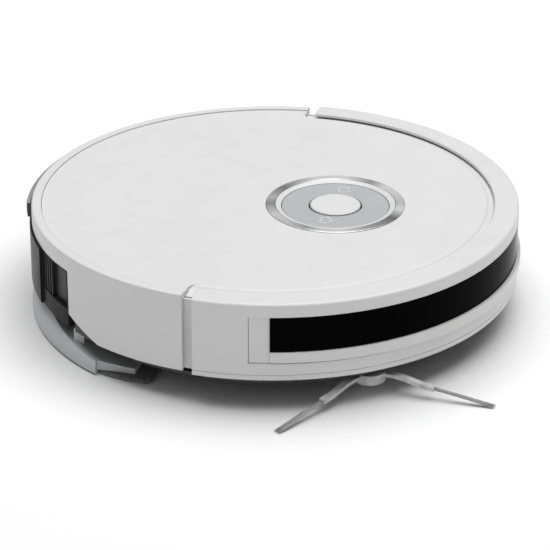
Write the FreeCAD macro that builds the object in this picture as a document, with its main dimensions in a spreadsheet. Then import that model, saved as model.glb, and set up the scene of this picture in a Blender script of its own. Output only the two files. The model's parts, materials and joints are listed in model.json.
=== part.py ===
"""Round robot vacuum cleaner with a rear tank and a mop plate.

Frame: millimetres, +Z up, origin on the round body's axis at floor level, front towards -Y,
the robot's left towards +X.
"""
import FreeCAD, Part
import os
import re
import Sketcher

V = FreeCAD.Vector

SIZES = [
    ("body_r", 164.0),
    ("total_h", 76.0),
    ("skirt_z", 22.5),
    ("underside_z", 16.5),
    ("pan_t", 2.2),
    ("rear_floor_z", 21.2),
    ("rear_floor_t", 2.0),
    ("wall_t", 2.4),
    ("rim_w", 7.0),
    ("panel_drop", 0.8),
    ("panel_t", 2.2),
    ("front_setback", 19.0),
    ("notch_rear_y", 15.6),
    ("bumper_proud", 3.5),
    ("bumper_t", 2.7),
    ("bumper_end_y", 8.3),
    ("bumper_flange_w", 16.5),
    ("trim_h", 3.7),
    ("window_half_deg", 75.6),
    ("bezel_half_deg", 80.2),
    ("lip_proud", 2.0),
    ("ring_y", -44.0),
    ("ring_r", 47.3),
    ("key_r", 36.4),
    ("power_r", 17.0),
    ("power_gap", 1.15),
    ("wheel_r", 33.0),
    ("wheel_w", 18.0),
    ("wheel_y", 9.0),
    ("wheel_inset", 49.0),
    ("pivot_reach", 28.0),
    ("pivot_boss_r", 8.0),
    ("arm_end_r", 17.0),
    ("pivot_rise", 11.0),
    ("brush_r", 18.4),
    ("brush_half_l", 70.0),
    ("brush_y", 8.0),
    ("brush_z", 19.5),
    ("brush_pin_r", 3.0),
    ("battery_half_l", 60.0),
    ("battery_w", 44.0),
    ("battery_h", 21.7),
    ("caster_inset", 48.0),
    ("caster_r", 14.0),
    ("side_hub_x", -117.4),
    ("side_hub_y", -96.3),
    ("side_tip_r", 83.5),
    ("gear_end_r", 4.9),
    ("tank_proud", 1.6),
    ("tank_half_deg", 50.0),
    ("grip_start_deg", 35.5),
    ("tank_half_w", 84.0),
    ("tank_front_y", 53.0),
    ("tank_top_drop", 11.6),
    ("release_half_w", 51.0),
    ("button_half_w", 46.0),
    ("mop_proud", 1.6),
    ("mop_front_y", 55.0),
    ("cloth_front_y", 42.0),
    ("cloth_half_w", 148.0),
    ("cloth_t", 3.2),
    ("plate_rim_w", 46.0),
    ("skirt_w", 3.2),
    ("spring_x", 60.0),
    ("coil_r", 3.6),
    ("fan_y", 76.0),
    ("fan_z", 46.0),
]

DERIVED = {
    "bumper_r": "(body_r + bumper_proud)",
    "bumper_in_r": "(bumper_r - bumper_t)",
    "flange_r": "(bumper_r - bumper_flange_w)",
    "front_r": "(body_r - front_setback)",
    "frame_r": "(front_r + 4.5)",
    "panel_r": "(body_r - rim_w)",
    "panel_top": "(total_h - panel_drop)",
    "panel_low": "(panel_top - panel_t)",
    "pan_top": "(underside_z + pan_t)",
    "floor_top": "(rear_floor_z + rear_floor_t)",
    "well_top": "(panel_low - 1.8)",
    "well_in_x": "(body_r - 81)",
    "well_out_x": "(body_r - 32.5)",
    "wheel_x": "(body_r - wheel_inset)",
    "pivot_y": "(wheel_y + pivot_reach)",
    "pivot_z": "(wheel_r + pivot_rise)",
    "arm_l": "sqrt(pivot_reach * pivot_reach + pivot_rise * pivot_rise)",
    "arm_dy": "(pivot_rise / arm_l)",
    "arm_dz": "(pivot_reach / arm_l)",
    "caster_y": "(caster_inset - body_r)",
    "battery_y": "(-battery_w / 2 - 42)",
    "tank_r": "(body_r + tank_proud)",
    "tank_low": "(skirt_z + 1)",
    "tank_top": "(total_h - tank_top_drop)",
    "window_low": "(skirt_z + 20.5)",
    "window_top": "(total_h - 9.1)",
    "lip_low": "(skirt_z + 12.6)",
    "mop_r": "(body_r + mop_proud)",
    "board_z": "(panel_low - 13)",
}

doc = FreeCAD.newDocument("robot_vacuum")
dims = doc.addObject("Spreadsheet::Sheet", "dims")
for row, (alias, value) in enumerate(SIZES, start=1):
    dims.set("A%d" % row, alias)
    dims.set("B%d" % row, str(value))
    dims.setAlias("B%d" % row, alias)
doc.recompute()

ALIASES = {alias for alias, _ in SIZES}
WORD = re.compile(r"[a-z]\w*")
nodes = []


def spelled(text):
    """The expression with each derived name written out in sheet names."""
    text = str(text)
    while any(word in DERIVED for word in WORD.findall(text)):
        text = WORD.sub(lambda found: DERIVED.get(found.group(0), found.group(0)), text)
    return text


def bound(text):
    """The expression as an object's property takes it."""
    def named(found):
        word = found.group(0)
        return "dims." + word if word in ALIASES else word

    return WORD.sub(named, spelled(text))


def num(text):
    return float(dims.evalExpression(spelled(text)))


def add(kind, name):
    return doc.addObject(kind, name)


def put(thing, x=0, y=0, z=0, turn=None):
    """Place an object at bound coordinates, turned by (axis, degrees)."""
    rotation = FreeCAD.Rotation(turn[0], turn[1]) if turn else FreeCAD.Rotation()
    thing.Placement = FreeCAD.Placement(V(num(x), num(y), num(z)), rotation)
    for axis, value in zip("xyz", (x, y, z)):
        thing.setExpression("Placement.Base." + axis, bound(value))
    return thing


def box(name, x0, x1, y0, y1, z0, z1):
    block = add("Part::Box", name)
    block.setExpression("Length", bound("(%s) - (%s)" % (x1, x0)))
    block.setExpression("Width", bound("(%s) - (%s)" % (y1, y0)))
    block.setExpression("Height", bound("(%s) - (%s)" % (z1, z0)))
    return put(block, x0, y0, z0)


def rod(name, radius, start, end, x=0, y=0, z=0, along="Z"):
    """A cylinder along an axis between start and end; the other two coordinates are x, y or z."""
    turns = {"X": (V(0, 1, 0), 90), "Y": (V(1, 0, 0), -90), "Z": None}
    cylinder = add("Part::Cylinder", name)
    cylinder.setExpression("Radius", bound(radius))
    cylinder.setExpression("Height", bound("(%s) - (%s)" % (end, start)))
    spot = {"X": (start, y, z), "Y": (x, start, z), "Z": (x, y, start)}[along]
    return put(cylinder, *spot, turn=turns[along])


def swung_box(name, size, corner, axis, degrees, centre=(0, 0, 0)):
    """A box whose corner is given from a centre, turned about an axis through that centre."""
    block = add("Part::Box", name)
    for side, value in zip(("Length", "Width", "Height"), size):
        block.setExpression(side, bound(value))
    swing = FreeCAD.Placement(V(*[num(value) for value in centre]), FreeCAD.Rotation(axis, degrees))
    start = FreeCAD.Placement(V(*[num(value) for value in corner]), FreeCAD.Rotation())
    block.Placement = swing.multiply(start)
    return block


def across(side, near, far):
    """The x limits between two distances from the middle plane, on one side of it."""
    return (near, far) if side > 0 else ("-(%s)" % far, "-(%s)" % near)


def cut(name, base, *tools):
    if len(tools) == 1:
        tool = tools[0]
    else:
        tool = fuse(name + "_tools", *tools)
    result = add("Part::Cut", name)
    result.Base = base
    result.Tool = tool
    result.Refine = True
    return result


def fuse(name, *things):
    result = add("Part::MultiFuse", name)
    result.Shapes = list(things)
    result.Refine = True
    return result


def common(name, *things):
    result = add("Part::MultiCommon", name)
    result.Shapes = list(things)
    return result


def group(name, *things):
    result = add("Part::Compound", name)
    result.Links = list(things)
    return result


PLANES = {
    "front": (V(0, -1, 0), V(0, 0, 1)),
    "rear": (V(0, 1, 0), V(0, 0, 1)),
    "side": (V(1, 0, 0), V(0, 0, 1)),
    "floor": (V(1, 0, 0), V(0, 1, 0)),
}


def outline(name, points, plane):
    """A closed sketch whose corners are bound to their expressions."""
    across, up = PLANES[plane]
    out = across.cross(up)
    grid = FreeCAD.Matrix(across.x, up.x, out.x, 0, across.y, up.y, out.y, 0, across.z, up.z, out.z, 0)
    sketch = add("Sketcher::SketchObject", name + "_sketch")
    sketch.Placement = FreeCAD.Placement(grid)
    corners = [V(num(a), num(b), 0) for a, b in points]
    count = len(corners)
    sides = [Part.LineSegment(corners[k], corners[(k + 1) % count]) for k in range(count)]
    sketch.addGeometry(sides, False)
    rules = [Sketcher.Constraint("Coincident", k, 2, (k + 1) % count, 1) for k in range(count)]
    for k, corner in enumerate(corners):
        rules.append(Sketcher.Constraint("DistanceX", -1, 1, k, 1, corner.x))
        rules.append(Sketcher.Constraint("DistanceY", -1, 1, k, 1, corner.y))
    sketch.addConstraint(rules)
    for k, (a, b) in enumerate(points):
        sketch.setExpression("Constraints[%d]" % (count + 2 * k), bound(a))
        sketch.setExpression("Constraints[%d]" % (count + 2 * k + 1), bound(b))
    return sketch


def turned(name, points, plane="front", angle="360"):
    """A profile of (radius, height) corners turned about the body's axis, centred on its plane."""
    solid = add("Part::Revolution", name)
    solid.Source = outline(name, points, plane)
    solid.Axis = V(0, 0, 1)
    solid.Base = V(0, 0, 0)
    solid.Solid = True
    solid.Symmetric = True
    solid.setExpression("Angle", bound(angle))
    return solid


def prism(name, points, plane, start, end):
    """An outline pushed along its plane's normal from start to end."""
    across, up = PLANES[plane]
    solid = add("Part::Extrusion", name)
    solid.Base = outline(name, points, plane)
    solid.DirMode = "Custom"
    solid.Dir = across.cross(up)
    solid.Solid = True
    solid.setExpression("LengthFwd", bound(end))
    solid.setExpression("LengthRev", bound("-(%s)" % start))
    return solid


def rounded(name, base, radius, rings):
    """Round the circular edges of the given (radius, height) rings."""
    doc.recompute()
    picked = []
    for number, edge in enumerate(base.Shape.Edges, start=1):
        if edge.Curve.TypeId != "Part::GeomCircle":
            continue
        for ring_r, ring_z in rings:
            same_r = abs(edge.Curve.Radius - num(ring_r)) < 0.02
            same_z = abs(edge.BoundBox.ZMax - num(ring_z)) < 0.02 and edge.BoundBox.ZLength < 0.02
            if same_r and same_z:
                picked.append((number, num(radius), num(radius)))
    result = add("Part::Fillet", name)
    result.Base = base
    result.Edges = picked
    return result


def node(thing, label=None):
    thing.Label = label or thing.Name
    nodes.append(thing)
    return thing


# ---------------------------------------------------------------- lower pan
WELL = ("well_in_x + 1.8", "well_out_x - 1.8", "wheel_y - 38.2", "wheel_y + 39.2")
SCREWS = (
    ("38", "18 - body_r * 0.93"),
    ("80", "44 - body_r * 0.93"),
    ("body_r - 26", "-20"),
    ("body_r - 26", "30"),
)
POSTS = (("70", "-100"), ("70", "-26"))

band = turned(
    "pan_band",
    [
        ("0", "underside_z"),
        ("body_r - 5", "underside_z"),
        ("body_r + 1", "skirt_z - 0.9"),
        ("body_r + 1", "skirt_z - 0.4"),
        ("body_r - 1.6", "skirt_z - 0.4"),
        ("body_r - 7", "pan_top"),
        ("0", "pan_top"),
    ],
)
band_reach = box("pan_band_reach", "-2 * body_r", "2 * body_r", "-2 * body_r", "2", "0", "total_h")
middle = common(
    "pan_middle",
    rod("pan_middle_disc", "body_r - 7.2", "underside_z", "pan_top"),
    box("pan_middle_reach", "-body_r", "body_r", "-10", "54", "0", "total_h"),
)
rear_floor = common(
    "pan_rear",
    rod("pan_rear_disc", "body_r - wall_t - 0.4", "rear_floor_z", "floor_top"),
    box("pan_rear_reach", "-body_r", "body_r", "52", "body_r", "0", "total_h"),
)
step = common(
    "pan_step",
    rod("pan_step_disc", "body_r - 7.2", "underside_z", "floor_top"),
    box("pan_step_reach", "-body_r", "body_r", "52", "54", "0", "total_h"),
)
skirt_wall = cut(
    "skirt_wall",
    common(
        "skirt_wall_arc",
        cut(
            "skirt_wall_ring",
            rod("skirt_wall_outer", "body_r - wall_t - 0.4", "rear_floor_z", "skirt_z + 13"),
            rod("skirt_wall_inner", "body_r - 5.4", "0", "total_h"),
        ),
        box("skirt_wall_reach", "-body_r", "body_r", "body_r * 0.42", "(body_r - 5.4) * cos(tank_half_deg) - 0.6",
            "0", "total_h"),
    ),
    box("skirt_wall_gap", "-body_r * 0.72", "body_r * 0.72", "0", "body_r", "0", "total_h"),
)
bosses = []
pan_holes = []
screws = []
for side in (-1, 1):
    for number, (x, y) in enumerate(SCREWS):
        spot = dict(x="%d * (%s)" % (side, x), y=y)
        tag = "%s%d" % ("lr"[side > 0], number)
        bosses.append(rod("boss_" + tag, "5", "pan_top", "pan_top + 6", **spot))
        pan_holes.append(rod("bore_" + tag, "1.5", "underside_z", "pan_top + 6", **spot))
        pan_holes.append(rod("sink_" + tag, "3.2", "underside_z - 1", "underside_z + 2", **spot))
        head = rod("head_" + tag, "3", "underside_z + 0.2", "underside_z + 1.9", **spot)
        recess = rod("recess_" + tag, "1.3", "underside_z", "underside_z + 1.2", **spot)
        shank = rod("shank_" + tag, "1.4", "underside_z + 1.5", "pan_top + 5", **spot)
        screws.append(fuse("screw_" + tag, cut("screw_head_" + tag, head, recess), shank))
    for number, (x, y) in enumerate(POSTS):
        tag = "%s%d" % ("lr"[side > 0], number)
        bosses.append(rod("post_" + tag, "3", "pan_top", "board_z - 0.1", x="%d * %s" % (side, x), y=y))
    ends = ("well_in_x + 1.8", "well_out_x - 1.8") if side > 0 else ("1.8 - well_out_x", "-well_in_x - 1.8")
    pan_holes.append(box("pan_well_%s" % "lr"[side > 0], *ends, WELL[2], WELL[3], "0", "pan_top + 1"))
    post_x = ("body_r - 52", "body_r - 38") if side > 0 else ("38 - body_r", "52 - body_r")
    pan_holes.append(box("pan_clip_slot_%s" % "lr"[side > 0], *post_x, "92", "body_r", "0", "total_h"))
pan_holes += [
    box("pan_mouth", "-brush_half_l - 4", "brush_half_l + 4", "brush_y - 22", "brush_y + 22", "0",
        "pan_top + 1"),
    box("pan_pin_slot", "-brush_half_l - 6", "brush_half_l + 11.5", "brush_y - 4.7", "brush_y + 4.7", "0",
        "pan_top + 1"),
    box("pan_battery", "-battery_half_l - 4", "battery_half_l + 4", "battery_y - battery_w / 2 - 2",
        "battery_y + battery_w / 2 + 2", "0", "pan_top + 1"),
    rod("pan_caster", "caster_r + 8.5", "0", "pan_top + 1", y="caster_y"),
    rod("pan_side_shaft", "4", "0", "pan_top + 1", x="side_hub_x", y="side_hub_y"),
]
BAT_X = ("-battery_half_l", "battery_half_l")
BAT_Y = ("battery_y - battery_w / 2", "battery_y + battery_w / 2")
tray = cut(
    "battery_tray",
    box("tray_outer", "%s - 5.6" % BAT_X[0], "%s + 5.6" % BAT_X[1], "%s - 3.6" % BAT_Y[0],
        "%s + 3.6" % BAT_Y[1], "pan_top", "pan_top + battery_h + 2.4"),
    box("tray_inner", "%s - 4" % BAT_X[0], "%s + 4" % BAT_X[1], "%s - 2" % BAT_Y[0],
        "%s + 2" % BAT_Y[1], "0", "pan_top + battery_h + 0.6"),
)
socket = cut(
    "caster_socket",
    fuse(
        "socket_solid",
        rod("socket_outer", "caster_r + 9.5", "pan_top", "caster_r + 22.2", y="caster_y"),
        rod("socket_boss", "8", "caster_r + 20", "caster_r + 33", y="caster_y"),
    ),
    rod("socket_inner", "caster_r + 7.5", "0", "caster_r + 20.2", y="caster_y"),
    rod("socket_bore", "5.05", "0", "caster_r + 31.6", y="caster_y"),
)
pan_solid = fuse(
    "pan_solid",
    common("pan_front", band, band_reach),
    middle,
    rear_floor,
    step,
    tray,
    socket,
    skirt_wall,
    *bosses,
)
node(cut("lower_pan", pan_solid, *pan_holes))
node(group("pan_screws", *screws))

# ---------------------------------------------------------------- inner frame behind the bumper
frame_wall = cut(
    "frame_wall",
    rod("frame_outer", "frame_r", "pan_top + 0.1", "panel_low - 3"),
    rod("frame_inner", "frame_r - 2.5", "0", "total_h"),
)
frame_reach = box("frame_reach", "-body_r", "body_r", "-body_r", "13", "0", "total_h")
frame_gap = rod("frame_gap", "10", "0", "pan_top + 24", x="side_hub_x", y="side_hub_y")
node(cut("inner_frame", common("frame_front", frame_wall, frame_reach), frame_gap))

# ---------------------------------------------------------------- upper shell
shell_ring = turned(
    "shell_ring",
    [
        ("body_r - wall_t", "skirt_z"),
        ("body_r", "skirt_z"),
        ("body_r", "total_h"),
        ("panel_r + 0.25", "total_h"),
        ("panel_r + 0.25", "panel_low - 0.1"),
        ("body_r - 10.5", "panel_low - 0.1"),
        ("body_r - 10.5", "panel_low - 2.4"),
        ("body_r - wall_t", "panel_low - 2.4"),
    ],
    "rear",
)
shell_soft = rounded("shell_soft", shell_ring, "1.3", [("body_r", "total_h")])
shell_reach = box("shell_reach", "-body_r", "body_r", "notch_rear_y", "2 * body_r", "0", "total_h")
closure_reach = box("closure_reach", "-body_r", "body_r", "-2", "notch_rear_y + 1", "0", "total_h")
closure_wall = common(
    "closure_wall",
    cut(
        "closure_ring",
        rod("closure_outer", "body_r - 4", "skirt_z + 0.4", "panel_low - 1.2"),
        rod("closure_inner", "body_r - 6", "0", "total_h"),
    ),
    closure_reach,
)
shell_ends = [
    box("shell_end_l", "2.4 - body_r", "14.2 - body_r", "notch_rear_y", "notch_rear_y + 2", "skirt_z + 0.5",
        "panel_low - 1"),
    box("shell_end_r", "body_r - 14.2", "body_r - 2.4", "notch_rear_y", "notch_rear_y + 2", "skirt_z + 0.5",
        "panel_low - 1"),
]
shell_window = prism(
    "shell_window",
    [
        ("-body_r * 0.875", "0"),
        ("-body_r * 0.875", "skirt_z"),
        ("-body_r * 0.7695", "skirt_z + 11.2"),
        ("-body_r * 0.7695", "tank_top + 0.4"),
        ("-release_half_w - 0.4", "tank_top + 0.4"),
        ("-release_half_w - 0.4", "panel_low + 0.1"),
        ("release_half_w + 0.4", "panel_low + 0.1"),
        ("release_half_w + 0.4", "tank_top + 0.4"),
        ("body_r * 0.7695", "tank_top + 0.4"),
        ("body_r * 0.7695", "skirt_z + 11.2"),
        ("body_r * 0.875", "skirt_z"),
        ("body_r * 0.875", "0"),
    ],
    "side",
    "-2 * body_r",
    "-70",
)
shell_body = fuse("shell_body", common("shell_rear", shell_soft, shell_reach), closure_wall, *shell_ends)
node(cut("upper_shell", shell_body, shell_window))

# ---------------------------------------------------------------- top panel and key cluster
panel_front = turned(
    "panel_front",
    [
        ("0", "panel_low"),
        ("0", "panel_top"),
        ("front_r - 1.2", "panel_top"),
        ("front_r + 0.5", "panel_top - 0.4"),
        ("front_r + 1.9", "panel_top - 1.3"),
        ("front_r + 6.5", "panel_top - 2.8"),
        ("front_r + 11.5", "panel_top - 3.3"),
        ("front_r + 11.5", "panel_top - 5"),
        ("front_r + 3", "panel_low - 2"),
        ("front_r - 1", "panel_low"),
    ],
)
panel_front_reach = box("panel_front_reach", "-body_r", "body_r", "-body_r", "notch_rear_y - 0.2", "0",
                        "total_h")
panel_joint = common(
    "panel_joint",
    rod("panel_joint_disc", "front_r - 1", "panel_low", "panel_top"),
    box("panel_joint_reach", "-body_r", "body_r", "notch_rear_y - 4", "notch_rear_y + 4", "0", "total_h"),
)
panel_rear = common(
    "panel_rear",
    rod("panel_disc", "panel_r", "panel_low", "panel_top"),
    box("panel_rear_reach", "-body_r", "body_r", "notch_rear_y", "body_r", "0", "total_h"),
)
panel_corners = []
for side, tag in ((-1, "l"), (1, "r")):
    ends = ("front_r - 12", "front_r + 5.2") if side > 0 else ("-front_r - 5.2", "12 - front_r")
    block = box("panel_corner_block_" + tag, *ends, "notch_rear_y - 7", "notch_rear_y + 1", "panel_low",
                "panel_top")
    hollow = rod("panel_corner_hollow_" + tag, "7", "0", "total_h", x="%d * (front_r + 5.2)" % side,
                 y="notch_rear_y - 7")
    panel_corners.append(cut("panel_corner_" + tag, block, hollow))
panel_plate = fuse(
    "panel_plate",
    common("panel_front_part", panel_front, panel_front_reach),
    panel_rear,
    panel_joint,
    *panel_corners,
)
node(cut("top_panel", panel_plate, rod("panel_hole", "ring_r - 3.2", "0", "total_h", y="ring_y")))


def ringed(name, points):
    """A profile turned about the key cluster's own axis."""
    solid = add("Part::Revolution", name)
    solid.Source = outline(name, points, "side")
    solid.Axis = V(0, 0, 1)
    solid.Solid = True
    solid.Angle = 360
    return put(solid, "0", "ring_y", "0")


node(ringed("control_ring", [
    ("ring_r - 6.5", "panel_low - 0.4"),
    ("ring_r - 3.5", "panel_low - 0.4"),
    ("ring_r - 3.5", "panel_top + 0.05"),
    ("ring_r", "panel_top + 0.05"),
    ("ring_r", "panel_top + 0.4"),
    ("ring_r - 0.6", "total_h"),
    ("ring_r - 5.9", "total_h"),
    ("ring_r - 6.5", "total_h - 0.6"),
]))
node(ringed("ring_bevel", [
    ("key_r + 0.4", "panel_low - 0.4"),
    ("ring_r - 6.7", "panel_low - 0.4"),
    ("ring_r - 6.7", "panel_top + 0.4"),
    ("ring_r - 7.2", "panel_top + 0.6"),
    ("key_r + 0.4", "panel_top - 0.7"),
]))
node(cut(
    "key_carrier",
    ringed("carrier_cup", [
        ("0", "panel_low - 4"),
        ("ring_r - 3.6", "panel_low - 4"),
        ("ring_r - 3.6", "panel_low - 0.5"),
        ("ring_r - 6.4", "panel_low - 0.5"),
        ("ring_r - 6.4", "panel_low - 2.6"),
        ("0", "panel_low - 2.6"),
    ]),
    rod("carrier_bore", "3.3", "0", "total_h", y="ring_y"),
    rod("carrier_bore_l", "3.3", "0", "total_h", x="-26", y="ring_y"),
    rod("carrier_bore_r", "3.3", "0", "total_h", x="26", y="ring_y"),
))
key_body = fuse(
    "key_body",
    ringed("key_ring", [
        ("power_r + power_gap", "panel_low - 1.5"),
        ("key_r", "panel_low - 1.5"),
        ("key_r", "panel_top - 1.1"),
        ("key_r - 0.5", "panel_top - 0.7"),
        ("power_r + power_gap + 0.5", "panel_top - 0.7"),
        ("power_r + power_gap", "panel_top - 1.1"),
    ]),
    rod("key_stem_l", "2.6", "board_z + 6.6", "panel_low - 1.2", x="-26", y="ring_y"),
    rod("key_stem_r", "2.6", "board_z + 6.6", "panel_low - 1.2", x="26", y="ring_y"),
)
node(key_body, "mode_key")
ICON = ("panel_top - 0.7", "panel_top - 0.58")
home_outer = prism("home_outer", [
    ("-30.5", "ring_y + 0.4"),
    ("-30.5", "ring_y + 4"),
    ("-21.5", "ring_y + 4"),
    ("-21.5", "ring_y + 0.4"),
    ("-20", "ring_y + 0.4"),
    ("-26", "ring_y - 5"),
    ("-32", "ring_y + 0.4"),
], "floor", *ICON)
home_inner = prism("home_inner", [
    ("-29.7", "ring_y - 0.4"),
    ("-29.7", "ring_y + 3.2"),
    ("-22.3", "ring_y + 3.2"),
    ("-22.3", "ring_y - 0.4"),
    ("-26", "ring_y - 3.8"),
], "floor", "panel_top - 2", "total_h")
spot_ring = cut(
    "spot_ring",
    rod("spot_outer", "4.4", *ICON, x="26", y="ring_y"),
    rod("spot_inner", "3.6", "0", "total_h", x="26", y="ring_y"),
    box("spot_gap", "26.4", "31", "ring_y - 5", "ring_y - 1.2", "0", "total_h"),
)
spot_arrow = prism("spot_arrow", [
    ("28", "ring_y - 2.6"),
    ("29.8", "ring_y - 0.2"),
    ("31.4", "ring_y - 2.4"),
], "floor", *ICON)
node(group("key_icons", cut("home_icon", home_outer, home_inner), fuse("spot_icon", spot_ring, spot_arrow)))
power_cap = ringed("power_cap", [
    ("0", "panel_low - 1.8"),
    ("power_r", "panel_low - 1.8"),
    ("power_r", "panel_top - 0.4"),
    ("power_r - 0.7", "panel_top + 0.1"),
    ("0", "panel_top + 0.1"),
])
power_stem = rod("power_stem", "2.6", "board_z + 6", "panel_low - 1.5", y="ring_y")
node(fuse("power_button", power_cap, power_stem))

# ---------------------------------------------------------------- board and its parts
node(cut(
    "mainboard",
    box("board_plate", "-74", "74", "-108", "-16", "board_z", "board_z + 1.6"),
    *[rod("board_bore_%d_%d" % (side, number), "1.6", "0", "total_h", x="%d * %s" % (side, x), y=y)
      for side in (-1, 1) for number, (x, y) in enumerate(POSTS)],
))
switches = []
for x in (-26, 0, 26):
    base = box("switch_base_%d" % (x + 26), x - 3, x + 3, "ring_y - 3", "ring_y + 3", "board_z + 1.7",
               "board_z + 4.4")
    peg = rod("switch_peg_%d" % (x + 26), "1.7", "board_z + 4.4", "board_z + 5.2", x=x, y="ring_y")
    switches.append(fuse("switch_%d" % (x + 26), base, peg))
node(group(
    "board_components",
    *switches,
    box("processor", "-62", "-46", "-84", "-68", "board_z + 1.7", "board_z + 3.2"),
    box("charger_coil", "44", "58", "-90", "-76", "board_z + 1.7", "board_z + 8"),
    box("board_plug", "-12", "12", "-104", "-98", "board_z + 1.7", "board_z + 7"),
    rod("capacitor_a", "4", "board_z + 1.7", "board_z + 9", x="60", y="-58"),
    rod("capacitor_b", "4", "board_z + 1.7", "board_z + 9", x="-60", y="-52"),
))

# ---------------------------------------------------------------- battery
node(box("battery_pack", *BAT_X, *BAT_Y, "pan_top + 0.3", "pan_top + 0.3 + battery_h"))
node(box("battery_cover", "%s - 3.7" % BAT_X[0], "%s + 3.7" % BAT_X[1], "%s - 1.7" % BAT_Y[0],
         "%s + 1.7" % BAT_Y[1], "underside_z", "pan_top"))

# ---------------------------------------------------------------- drive wheels and suspension
AXLE = dict(y="wheel_y", z="wheel_r", along="X")
PIVOT = dict(y="pivot_y", z="pivot_z", along="X")
GROOVES = 24

for side, word in ((1, "left"), (-1, "right")):
    well_x = across(side, "well_in_x", "well_out_x")
    well_inner_x = across(side, WELL[0], WELL[1])
    bore_x = across(side, "well_in_x - 1", "well_in_x + 3")
    outer = box(word + "_well_outer", *well_x, "wheel_y - 40", "wheel_y + 41", "pan_top + 0.1", "well_top")
    inner = box(word + "_well_inner", *well_inner_x, WELL[2], WELL[3], "0", "well_top - 1.8")
    node(cut(word + "_well", outer, inner, rod(word + "_well_bore", "3.05", *bore_x, **PIVOT)))
    arm_x = across(side, "wheel_x - 27", "wheel_x - 11.5")
    web_points = [
        ("pivot_y - arm_dy * pivot_boss_r", "pivot_z + arm_dz * pivot_boss_r"),
        ("wheel_y - arm_dy * arm_end_r", "wheel_r + arm_dz * arm_end_r"),
        ("wheel_y + arm_dy * arm_end_r", "wheel_r - arm_dz * arm_end_r"),
        ("pivot_y + arm_dy * pivot_boss_r", "pivot_z - arm_dz * pivot_boss_r"),
    ]
    node(fuse(
        word + "_arm",
        rod(word + "_arm_pivot", "pivot_boss_r", *arm_x, **PIVOT),
        rod(word + "_arm_end", "arm_end_r", *arm_x, **AXLE),
        prism(word + "_arm_web", web_points, "rear", *arm_x),
        rod(word + "_arm_pin", "3", *across(side, "well_in_x + 0.2", "wheel_x - 20"), **PIVOT),
        rod(word + "_arm_stub", "4", *across(side, "wheel_x - 13", "wheel_x + 6"), **AXLE),
    ))
    hub_x = across(side, "wheel_x - wheel_w / 2 + 1", "wheel_x + wheel_w / 2 - 1")
    dish_x = across(side, "wheel_x + 5", "wheel_x + 20")
    boss_x = across(side, "wheel_x + 4", "wheel_x + 21")
    node(cut(
        word + "_wheel_hub",
        rod(word + "_hub_disc", "wheel_r - 7", *hub_x, **AXLE),
        rod(word + "_hub_bore", "4.05", *across(side, "wheel_x - 20", "wheel_x + 6.2"), **AXLE),
        cut(
            word + "_hub_dish",
            rod(word + "_hub_dish_outer", "wheel_r - 10", *dish_x, **AXLE),
            rod(word + "_hub_dish_inner", "8", *boss_x, **AXLE),
        ),
    ))
    tyre_x = across(side, "wheel_x - wheel_w / 2", "wheel_x + wheel_w / 2")
    centre = ("%s - 2" % tyre_x[0], "wheel_y", "wheel_r")
    tread = [
        swung_box("%s_groove_%d" % (word, number), ("wheel_w + 4", "2.6", "4"),
                  ("0", "-1.3", "wheel_r - 1.6"), V(1, 0, 0), number * 360 / GROOVES, centre)
        for number in range(GROOVES)
    ]
    node(cut(
        word + "_tyre",
        rod(word + "_tyre_outer", "wheel_r", *tyre_x, **AXLE),
        rod(word + "_tyre_bore", "wheel_r - 6.98", *across(side, "wheel_x - 20", "wheel_x + 20"), **AXLE),
        group(word + "_tread", *tread),
    ))

# ---------------------------------------------------------------- caster
node(fuse(
    "caster_fork",
    cut(
        "fork_dome",
        rod("fork_disc", "caster_r + 7", "caster_r - 1", "caster_r + 18.5", y="caster_y"),
        rod("fork_slot", "caster_r + 1.4", "-6.6", "6.6", y="caster_y + 6", z="caster_r", along="X"),
    ),
    rod("fork_axle", "2", "-10", "10", y="caster_y + 6", z="caster_r", along="X"),
    rod("fork_stem", "5", "caster_r + 17", "caster_r + 31", y="caster_y"),
))
node(cut(
    "caster_wheel",
    rod("caster_tread", "caster_r", "-6", "6", y="caster_y + 6", z="caster_r", along="X"),
    rod("caster_bore", "2.05", "-7", "7", y="caster_y + 6", z="caster_r", along="X"),
))

# ---------------------------------------------------------------- main brush and its bay
RIBS = (-45, -15, 15, 45)
BRUSH = dict(y="brush_y", z="brush_z", along="X")
node(cut(
    "brush_bay",
    fuse(
        "bay_solid",
        box("bay_outer", "-brush_half_l - 5.5", "brush_half_l + 5.5", "brush_y - 24", "brush_y + 25",
            "pan_top + 0.1", "brush_z + 23.5"),
        box("duct_outer", "-36", "36", "brush_y + 22", "tank_front_y - 2.6", "brush_z + 8.7",
            "brush_z + 23.5"),
    ),
    rod("bay_hollow", "brush_r + 2.4", "-brush_half_l - 3.8", "brush_half_l + 3.8", **BRUSH),
    box("bay_mouth", "-brush_half_l - 3.8", "brush_half_l + 3.8", "brush_y - 20.8", "brush_y + 20.8", "0",
        "brush_z"),
    box("duct_inner", "-34", "34", "brush_y + 4", "tank_front_y + 2", "brush_z + 10.5", "brush_z + 21.7"),
    rod("bay_drive_bore", "brush_pin_r + 0.5", "brush_half_l", "brush_half_l + 7", **BRUSH),
    rod("bay_idle_bore", "brush_pin_r + 0.05", "-brush_half_l - 7", "-brush_half_l", **BRUSH),
))
node(fuse(
    "brush_core",
    rod("core_tube", "9", "-brush_half_l", "brush_half_l", **BRUSH),
    rod("core_drive_pin", "brush_pin_r", "brush_half_l - 1", "brush_half_l + 10.5", **BRUSH),
    rod("core_idle_pin", "brush_pin_r", "-brush_half_l - 5.2", "1 - brush_half_l", **BRUSH),
))
rows = []
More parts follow.
